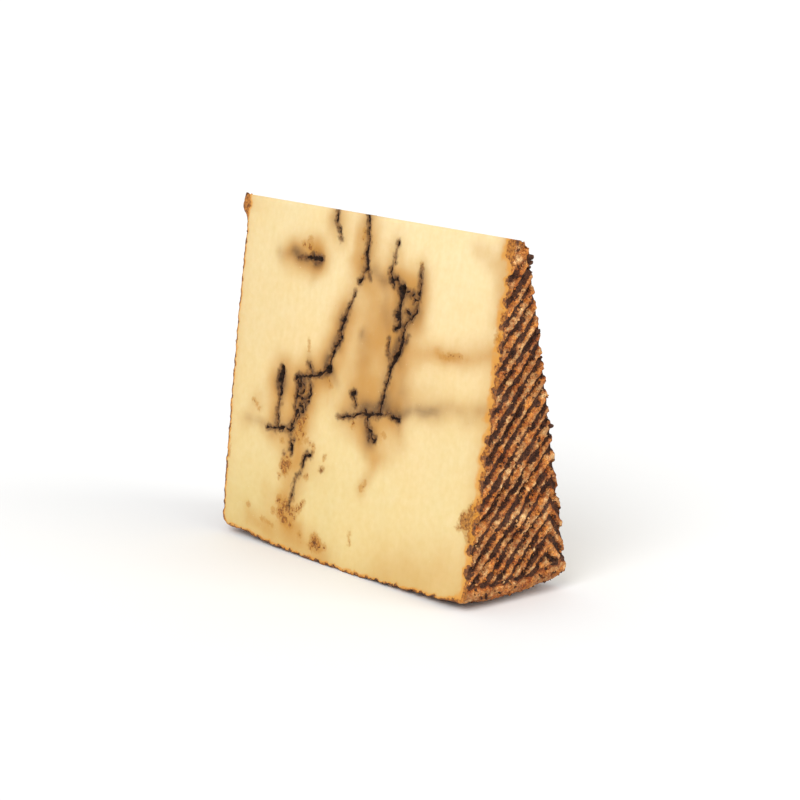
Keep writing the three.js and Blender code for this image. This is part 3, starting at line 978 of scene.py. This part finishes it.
def lay(tree, over, mask, strength, under):
    """Lay a colour over another where a mask says, as strongly as wanted."""
    return mix_colour(tree, times(tree, mask, strength), under, over)


def ramp(tree, value, *stops):
    """Colours along a value: (place, colour) for each stop."""
    node = add(tree, "ShaderNodeValToRGB", {"Fac": value})
    elements = node.color_ramp.elements
    elements.remove(elements[1])
    elements[0].position, elements[0].color = stops[0]
    for place, colour in stops[1:]:
        elements.new(place).color = colour
    return node.outputs["Color"]


def stored(tree, name):
    return add(tree, "ShaderNodeAttribute", attribute_name=name).outputs["Fac"]


def grain(tree, size, detail=2.0, place=None, roughness=0.5):
    """Noise from 0 to 1 with bumps about size mm across."""
    place = place or add(tree, "ShaderNodeTexCoord").outputs["Object"]
    node = add(tree, "ShaderNodeTexNoise", {"Vector": place, "Scale": 1 / (size * MM),
                                            "Detail": detail, "Roughness": roughness})
    return node.outputs["Fac"]


print("a ripe rind's tan is", [round(v, 3) for v in paint(200, 140, 90)[:3]])

# %% [markdown]
# Three effects are shared by the paste and the rind, so each is a node group. "Ragged edge" turns a
# measure in mm into a mask with a crumbly border, which is how cracks, crumbs, grooves and the rim
# of the rind all end. "Mottle" mixes two colours in patches. "Crumb relief" is the fine relief of
# dry cheese.


# %% The shared groups
def new_group(name, inputs, output):
    group = bpy.data.node_groups.new(name, "ShaderNodeTree")
    for label, kind, value in inputs:
        socket = group.interface.new_socket(label, in_out="INPUT", socket_type=kind)
        socket.default_value = value
    group.interface.new_socket(output[0], in_out="OUTPUT", socket_type=output[1])
    entry = group.nodes.new("NodeGroupInput").outputs
    leave = group.nodes.new("NodeGroupOutput").inputs
    return group, entry, leave


def scaled_grain(group, size, detail):
    """Noise whose size, in mm, is an input of the group."""
    place = add(group, "ShaderNodeTexCoord").outputs["Object"]
    scale = math_step(group, "DIVIDE", 1 / MM, size)
    return add(group, "ShaderNodeTexNoise", {"Vector": place, "Scale": scale, "Detail": detail})


NUMBER, COLOUR = "NodeSocketFloat", "NodeSocketColor"

ragged_edge, entry, leave = new_group(
    "ragged edge", [("Distance", NUMBER, 0.0), ("Grain", NUMBER, 1.0), ("Raggedness", NUMBER, 0.3),
                    ("Softness", NUMBER, 0.1)], ("Mask", NUMBER))
rough = scaled_grain(ragged_edge, entry["Grain"], 3.0).outputs["Fac"]
rough = times(ragged_edge, minus(ragged_edge, rough, 0.5), 3.0)
rough = times(ragged_edge, rough, entry["Raggedness"])
rough = plus(ragged_edge, rough, entry["Distance"])
rough = math_step(ragged_edge, "DIVIDE", rough, entry["Softness"])
inside = add(ragged_edge, "ShaderNodeMapRange", {"Value": rough, "From Min": 1, "From Max": -1},
             interpolation_type="SMOOTHSTEP")
ragged_edge.links.new(inside.outputs["Result"], leave["Mask"])

mottle, entry, leave = new_group(
    "mottle", [("Grain", NUMBER, 2.0), ("Contrast", NUMBER, 2.0), ("First", COLOUR, (1, 1, 1, 1)),
               ("Second", COLOUR, (0, 0, 0, 1))], ("Color", COLOUR))
patches = scaled_grain(mottle, entry["Grain"], 4.0).outputs["Fac"]
patches = times(mottle, minus(mottle, patches, 0.5), entry["Contrast"])
patches = plus(mottle, patches, 0.5, clamp=True)
mottle.links.new(mix_colour(mottle, patches, entry["First"], entry["Second"]), leave["Color"])

crumb_relief, entry, leave = new_group(
    "crumb relief", [("Grain", NUMBER, 0.6), ("Pits", NUMBER, 0.5)], ("Height", NUMBER))
bumps = scaled_grain(crumb_relief, entry["Grain"], 4.0).outputs["Fac"]
place = add(crumb_relief, "ShaderNodeTexCoord").outputs["Object"]
scale = math_step(crumb_relief, "DIVIDE", 1 / MM, entry["Grain"])
cells = add(crumb_relief, "ShaderNodeTexVoronoi", {"Vector": place, "Scale": scale})
pits = times(crumb_relief, cells.outputs["Distance"], entry["Pits"])
height = plus(crumb_relief, bumps, pits)
crumb_relief.links.new(height, leave["Height"])
print("groups:", ", ".join(group.name for group in bpy.data.node_groups))


# %% [markdown]
# ## The paste
#
# The cut is built up in layers, in the order in which they lie: clean paste with faint clouds,
# knife streaks and a painted shade over its left half, tan and grey stains, small specks, ochre
# crumbs in their smears, the brown border of each crack, its dust and its black core, and last the
# rind in section, which is known by its depth. Light goes a little way into the paste, so it gets
# some subsurface.


# %% Place a group in a material, and start or finish one
def use(tree, group, **inputs):
    node = tree.nodes.new("ShaderNodeGroup")
    node.node_tree = group
    for name, value in inputs.items():
        name = name.replace("_", " ")
        if isinstance(value, bpy.types.NodeSocket):
            tree.links.new(value, node.inputs[name])
        else:
            node.inputs[name].default_value = value
    return node.outputs[0]


def crumbly_edge(tree, measure, grain, rough, soft):
    """A mask with a crumbly border: 1 where the measure, in mm, is below 0."""
    return use(tree, ragged_edge, Distance=measure, Grain=grain, Raggedness=rough, Softness=soft)


def two_tone(tree, first, second, grain, contrast):
    """Two colours in patches of about grain mm."""
    first, second = paint(*first), paint(*second)
    return use(tree, mottle, Grain=grain, Contrast=contrast, First=first, Second=second)


def finish_surface(tree, surface, colour, roughness, bump):
    tree.links.new(colour, surface.inputs["Base Color"])
    tree.links.new(roughness, surface.inputs["Roughness"])
    tree.links.new(bump.outputs[0], surface.inputs["Normal"])


def new_material(name):
    material = bpy.data.materials.new(name)
    material.use_nodes = True
    return material, material.node_tree, material.node_tree.nodes["Principled BSDF"]


# %% Clean paste, and a painted shade over its left half
LEFT_SHADE_FROM, LEFT_SHADE_TO = 10 * MM, -60 * MM
CLOUD_SIZE = 38
KNIFE_SIZE, KNIFE_STRETCH = 1.4, 0.04

paste, tree, surface = new_material("cheese paste")
place = add(tree, "ShaderNodeTexCoord").outputs["Object"]
height = add(tree, "ShaderNodeSeparateXYZ", {0: place}).outputs["Z"]
down = math_step(tree, "DIVIDE", height, float(high.z))
cloudy = times(tree, minus(tree, grain(tree, CLOUD_SIZE), 0.5), 0.5)
colour = ramp(tree, plus(tree, down, cloudy),
              (0.0, paint(232, 211, 148)), (0.25, paint(244, 223, 168)),
              (0.6, paint(250, 226, 176)), (1.0, paint(255, 236, 190)))
across = add(tree, "ShaderNodeSeparateXYZ", {0: place}).outputs["X"]
# Painted shade: the cut darkens across its left half, as if the lamp lit it from the right.
painted_left_shade = add(tree, "ShaderNodeMapRange", {"Value": across, "From Min": LEFT_SHADE_FROM,
                                           "From Max": LEFT_SHADE_TO},
            interpolation_type="SMOOTHSTEP").outputs["Result"]
colour = lay(tree, paint(222, 200, 142), painted_left_shade, 0.3, colour)
streaks = add(tree, "ShaderNodeMapping", {"Vector": place, "Scale": (1, 1, KNIFE_STRETCH)})
knife = grain(tree, KNIFE_SIZE, 3.0, streaks.outputs["Vector"])
colour = lay(tree, paint(228, 196, 122), knife, 0.2, colour)
for size, contrast, second in ((2.2, 1.8, (0.95, 0.91, 0.82, 1)), (17.0, 2.2, (1, 0.965, 0.89, 1))):
    mealy = use(tree, mottle, Grain=size, Contrast=contrast, First=(1, 1, 1, 1), Second=second)
    colour = mix_colour(tree, 1.0, colour, mealy, "MULTIPLY")
print("clean paste:", len(tree.nodes), "nodes")

# %% Stains and specks on the paste
tan_share = times(tree, stored(tree, "tan"), 0.94)
colour = mix_colour(tree, tan_share, colour, paint(200, 136, 40))
grey_share = times(tree, stored(tree, "grey"), 1.0, clamp=True)
stained = ramp(tree, grey_share, (0.0, paint(210, 162, 86)), (0.4, paint(174, 126, 66)),
               (0.75, paint(120, 84, 46)), (1.0, paint(76, 50, 26)))
colour = mix_colour(tree, grey_share, colour, stained)
pale_specks = crumbly_edge(tree, 0.98, grain=0.7, rough=1.3, soft=0.2)
colour = lay(tree, paint(255, 238, 205), pale_specks, 0.5, colour)
speck_place = minus(tree, 1.2, times(tree, stored(tree, "tan"), 0.5))
tan_specks = crumbly_edge(tree, speck_place, grain=1.0, rough=1.4, soft=0.2)
colour = lay(tree, paint(206, 150, 76), tan_specks, 0.5, colour)
print("with stains:", len(tree.nodes), "nodes")

# %% Ochre crumbs in the paste
crumb_place = stored(tree, "crumb")
smear_place = minus(tree, crumb_place, 1.0)
smear = crumbly_edge(tree, smear_place, grain=1.2, rough=1.0, soft=0.6)
colour = lay(tree, paint(196, 138, 54), smear, 0.6, colour)
crumb_mask = crumbly_edge(tree, minus(tree, crumb_place, 0.1), grain=0.8, rough=1.0, soft=0.25)
ochre = two_tone(tree, (128, 72, 22), (204, 136, 50), grain=0.8, contrast=3.5)
colour = lay(tree, ochre, crumb_mask, 0.85, colour)
flecks = times(tree, math_step(tree, "MAXIMUM", crumb_place, -0.6), 0.4)
flecks = crumbly_edge(tree, plus(tree, flecks, 0.62), grain=0.9, rough=1.1, soft=0.15)
colour = lay(tree, paint(92, 46, 16), flecks, 0.85, colour)
print("with crumbs:", len(tree.nodes), "nodes")

# %% Cracks in the paste
crack_place = stored(tree, "crack")
near_crack = minus(tree, crack_place, 0.75)
border = crumbly_edge(tree, near_crack, grain=1.2, rough=0.6, soft=0.8)
border_colour = two_tone(tree, (70, 44, 20), (132, 84, 38), grain=1.2, contrast=3.0)
colour = lay(tree, border_colour, border, 0.8, colour)
scattered = plus(tree, times(tree, crack_place, 0.3), 0.4)
dust = crumbly_edge(tree, scattered, grain=0.6, rough=1.0, soft=0.15)
colour = lay(tree, paint(58, 32, 14), dust, 0.8, colour)
core = crumbly_edge(tree, plus(tree, crack_place, 0.1), grain=0.9, rough=0.35, soft=0.16)
black = two_tone(tree, (18, 8, 0), (58, 34, 18), grain=0.7, contrast=3.0)
colour = mix_colour(tree, core, colour, black)
print("with cracks:", len(tree.nodes), "nodes")

# %% The rind in section
rim_place = stored(tree, "rim")
rim_soft = crumbly_edge(tree, minus(tree, rim_place, 1.6), grain=2.4, rough=0.9, soft=1.0)
colour = lay(tree, paint(228, 154, 50), rim_soft, 0.75, colour)
rim = crumbly_edge(tree, rim_place, grain=1.1, rough=0.7, soft=0.3)
rim_colour = two_tone(tree, (124, 70, 26), (212, 138, 54), grain=0.8, contrast=3.5)
colour = mix_colour(tree, rim, colour, rim_colour)
bitten = crumbly_edge(tree, stored(tree, "bite"), grain=0.8, rough=0.6, soft=0.2)
bite_colour = two_tone(tree, (74, 46, 32), (160, 98, 48), grain=0.9, contrast=3.5)
colour = mix_colour(tree, bitten, colour, bite_colour)
print("with the rim:", len(tree.nodes), "nodes")

# %% Relief and gloss of the paste
roughness = plus(tree, times(tree, core, 0.35), 0.44)
relief = times(tree, knife, 0.5)
relief = plus(tree, relief, times(tree, grain(tree, 5, 3.0), 0.7))
dry = plus(tree, core, plus(tree, crumb_mask, rim, clamp=True), clamp=True)
crumbly = use(tree, crumb_relief, Grain=0.5, Pits=0.6)
relief = plus(tree, relief, times(tree, dry, crumbly))
bump = add(tree, "ShaderNodeBump", {"Height": relief, "Strength": 0.35, "Distance": 0.25 * MM})
finish_surface(tree, surface, colour, roughness, bump)
surface.inputs["Subsurface Weight"].default_value = 0.2
surface.inputs["Subsurface Radius"].default_value = (1.0, 0.55, 0.25)
surface.inputs["Subsurface Scale"].default_value = 1.4 * MM
surface.inputs["Specular IOR Level"].default_value = 0.2
print("the paste has", len(tree.nodes), "nodes")

# %% [markdown]
# ## The rind
#
# Ridges are rubbed tan, with redder flanks, and the grooves keep the dark bloom of the mould. The
# weave number makes the grooves, as it did in the mesh, and the ragged edge breaks them up. Broad
# patches let a groove fade out here and there, where the print didn't take, and soot others over.

# %% Where the grooves lie
GROOVE_HALF = 0.245

rind, tree, surface = new_material("cheese rind")
number = stored(tree, "weave")
phase = math_step(tree, "ABSOLUTE", minus(tree, math_step(tree, "FRACT", number), 0.5))
off_middle = minus(tree, 0.5, phase)
from_edge = times(tree, minus(tree, off_middle, GROOVE_HALF), GROOVE_PITCH)
patchy = times(tree, minus(tree, grain(tree, 5, 2.0), 0.45), 3.0)
from_edge = plus(tree, from_edge, patchy)
plain_share = minus(tree, 1.0, stored(tree, "woven"))
from_edge = plus(tree, from_edge, times(tree, plain_share, 2.0))
from_edge = minus(tree, from_edge, times(tree, stored(tree, "ring"), 2.6))
print("a groove is", round(2 * GROOVE_HALF * GROOVE_PITCH, 2), "mm wide")

# %% Ridges, flanks and grooves
ridges = two_tone(tree, (192, 124, 66), (255, 220, 162), grain=1.2, contrast=4.0)
ochre = two_tone(tree, (190, 96, 24), (252, 176, 76), grain=0.8, contrast=3.5)
where_ochre = use(tree, mottle, Grain=4.0, Contrast=6.0, First=(0, 0, 0, 1),
                  Second=(0.8, 0.8, 0.8, 1))
colour = mix_colour(tree, where_ochre, ridges, ochre)
near_groove = minus(tree, from_edge, plus(tree, 0.25, plain_share))
flank = crumbly_edge(tree, near_groove, grain=1.1, rough=1.1, soft=0.4)
flank_colour = two_tone(tree, (104, 52, 24), (172, 90, 34), grain=1.5, contrast=3.0)
colour = lay(tree, flank_colour, flank, 0.8, colour)
groove = crumbly_edge(tree, from_edge, grain=0.9, rough=0.65, soft=0.16)
bloom = two_tone(tree, (62, 40, 30), (108, 70, 48), grain=1.5, contrast=3.0)
colour = mix_colour(tree, groove, colour, bloom)
print("grooves and ridges:", len(tree.nodes), "nodes")

# %% Soot, grit with painted highlights and shade, and specks
soot = use(tree, mottle, Grain=7.0, Contrast=6.0, First=(1.04, 1.04, 1.04, 1),
           Second=(0.7, 0.58, 0.48, 1))
colour = mix_colour(tree, 1.0, colour, soot, "MULTIPLY")
# Two fine mottles brighten and darken the rind's grain. This is partly the grain's own tone and
# partly painted highlights and tiny painted shadows of its crumbs.
for size, second in ((0.6, (0.74, 0.62, 0.52, 1)), (1.6, (0.9, 0.8, 0.7, 1))):
    grit_highlight_and_shade = use(tree, mottle, Grain=size, Contrast=4.0, First=(1.24, 1.22, 1.18, 1), Second=second)
    colour = mix_colour(tree, 1.0, colour, grit_highlight_and_shade, "MULTIPLY")
specks = crumbly_edge(tree, 0.66, grain=0.8, rough=1.1, soft=0.15)
colour = lay(tree, paint(46, 26, 18), specks, 0.85, colour)
print("with grit:", len(tree.nodes), "nodes")

# %% Relief and gloss of the rind
relief = use(tree, crumb_relief, Grain=0.6, Pits=0.9)
relief = plus(tree, relief, times(tree, groove, -0.6))
bump = add(tree, "ShaderNodeBump", {"Height": relief, "Strength": 1.0, "Distance": 0.7 * MM})
roughness = plus(tree, times(tree, groove, 0.15), 0.66)
finish_surface(tree, surface, colour, roughness, bump)
surface.inputs["Specular IOR Level"].default_value = 0.3
print("the rind has", len(tree.nodes), "nodes")

# %% [markdown]
# The cuts and the tip strip take the paste, and everything between them takes the rind. A face is
# paste when all its corners lie on a cut or on the strip.

# %% Give each face its material
TIP_BAND = 0.6
FLAT_SHARE = 0.001

wedge.data.materials.append(paste)
wedge.data.materials.append(rind)
rind_crumbs.data.materials.append(rind)
on_tip = np.hypot(plain[:, 1] - pivot[0], plain[:, 2] - pivot[1]) < above_back + TIP_BAND
on_cut = (cut_share < FLAT_SHARE) | (cut_share > 1 - FLAT_SHARE) | on_tip
corner_points = read(wedge.data.loops, "vertex_index", kind=np.int32)
starts = read(wedge.data.polygons, "loop_start", kind=np.int32)
off_cut = np.add.reduceat((~on_cut[corner_points]).astype(int), starts)
wedge.data.polygons.foreach_set("material_index", (off_cut > 0).astype(np.int32))
wedge.data.update()
print(int((off_cut > 0).sum()), "faces of rind,", int((off_cut == 0).sum()), "of paste")

# %% Say what the pieces are in the frame
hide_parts("cheese_wedge")
for piece in (wedge, rind_crumbs):
    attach(piece, "root")

# %% [markdown]
# ## The studio
#
# A plain pale floor, a white surrounding and two soft lamps, as for a catalogue picture. Both are
# sun lamps with a very broad disc: their light is soft, and it doesn't fade over the floor. The key
# lamp stands high on the side of the cut, and a weaker one lights the rind from the right.

# %% Floor
FLOOR_SIZE = 6
FLOOR_CLOUD = 400

bpy.ops.mesh.primitive_plane_add(size=FLOOR_SIZE, location=(0, 0, 0))
floor = bpy.context.object
floor.name = "floor"
floor_paint, tree, surface = new_material("studio floor")
surface.inputs["Roughness"].default_value = 0.75
pale = ramp(tree, grain(tree, FLOOR_CLOUD), (0.0, paint(255, 255, 254)), (1.0, paint(252, 252, 251)))
tree.links.new(pale, surface.inputs["Base Color"])
floor.data.materials.append(floor_paint)
print("floor laid")

# %% Light
LAMP_SPREAD = math.radians(35)

world = bpy.data.worlds.new("studio")
bpy.context.scene.world = world
world.use_nodes = True
world.node_tree.nodes["Background"].inputs["Color"].default_value = (1, 1, 1, 1)
world.node_tree.nodes["Background"].inputs["Strength"].default_value = 0.8


def soft_sun(name, azimuth, elevation, strength):
    """A broad sun lamp, from a compass direction round the wedge."""
    turn, rise = math.radians(azimuth), math.radians(elevation)
    away = Vector((math.sin(turn) * math.cos(rise), -math.cos(turn) * math.cos(rise), math.sin(rise)))
    light = bpy.data.lights.new(name, "SUN")
    light.energy, light.angle = strength, LAMP_SPREAD
    lamp = bpy.data.objects.new(name, light)
    lamp.rotation_euler = away.to_track_quat("Z", "Y").to_euler()
    bpy.context.collection.objects.link(lamp)


soft_sun("key", azimuth=28, elevation=40, strength=2.0)
soft_sun("fill", azimuth=110, elevation=28, strength=1.1)

# %% [markdown]
# ## The camera
#
# It stands about three quarters of a metre away, turned half way towards the right face and a
# little above, with a long lens, so that the cut and the rind both show.

# %% Place the camera
VIEW_TURN = math.radians(50.45)
VIEW_RISE = math.radians(12.26)
VIEW_DISTANCE = 760.7
VIEW_SIDE, VIEW_UP = 7.8, -4.08
AIM_DROP = 52.5
LENS, SENSOR = 112.5, 36

back = Vector((math.sin(VIEW_TURN) * math.cos(VIEW_RISE),
               -math.cos(VIEW_TURN) * math.cos(VIEW_RISE), math.sin(VIEW_RISE)))
right = Vector((math.cos(VIEW_TURN), math.sin(VIEW_TURN), 0))
up = back.cross(right)
aim = Vector(AXIS + (FACE_MIDDLE, 0, -AIM_DROP))
camera_data = bpy.data.cameras.new("camera")
camera_data.lens, camera_data.sensor_width = LENS, SENSOR
camera = bpy.data.objects.new("camera", camera_data)
camera.location = (aim + back * VIEW_DISTANCE + right * VIEW_SIDE + up * VIEW_UP) * MM
camera.rotation_euler = back.to_track_quat("Z", "Y").to_euler()
bpy.context.collection.objects.link(camera)
bpy.context.scene.camera = camera
bpy.context.scene.view_settings.view_transform = "Standard"
print("camera at", [round(v, 3) for v in camera.location])
